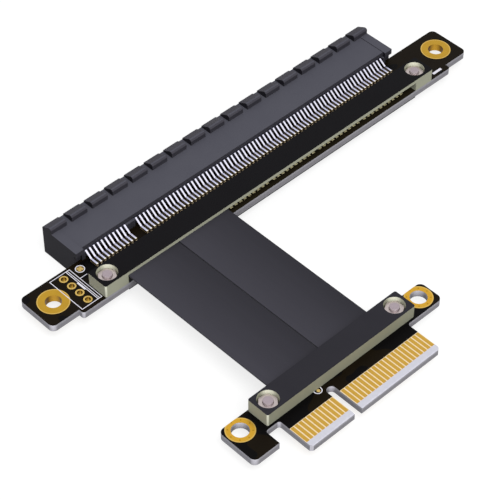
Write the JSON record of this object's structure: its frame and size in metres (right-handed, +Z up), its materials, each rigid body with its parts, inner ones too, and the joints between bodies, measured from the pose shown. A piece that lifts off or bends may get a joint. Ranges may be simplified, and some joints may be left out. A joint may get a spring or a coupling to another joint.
{
  "type": "slot extension cable",
  "caption": "Flat extension cable for a card slot: a long board with an edge-mounted slot, joined by flat ribbons to a short board with a card-edge plug.",
  "frame": {"origin": "under the middle of the part, on the plane that the slot housing lies on", "axes": "+X along the slot, +Y the way the slot opens, +Z up out of the boards' upper faces"},
  "size_m": [0.1168, 0.0738, 0.0081],
  "materials": {
    "board": "satin solder mask over laminate",
    "housing": "moulded, satin",
    "bar": "moulded, satin",
    "ribbon": "extruded, satin",
    "bed": "matt",
    "insulation": "matt film",
    "gold": "gold plated",
    "tin": "bright plated",
    "pad": "plated, satin",
    "steel": "nickel plated"
  },
  "bodies": {
    "root": {"slot_board": "board", "plug_board": "board", "slot_hole_plating": "gold", "header_plating": "gold", "slot_test_pad": "gold", "slot_housing": "housing", "upper_contacts": "tin", "lower_contacts": "tin", "slot_clamp_bar": "bar", "plug_clamp_bar": "bar", "slot_bar_nuts": "steel", "plug_bar_nuts": "steel", "slot_bar_screws": "steel", "plug_bar_screws": "steel", "slot_cable_pads": "pad", "plug_cable_pads": "pad", "slot_conductors": "tin", "plug_conductors": "tin", "slot_cable_bed": "bed", "plug_cable_bed": "bed", "underside_strip": "insulation", "ribbon_left": "ribbon", "ribbon_right": "ribbon", "plug_hole_rings": "gold", "upper_fingers": "gold", "lower_fingers": "gold"}
  },
  "joints": []
}
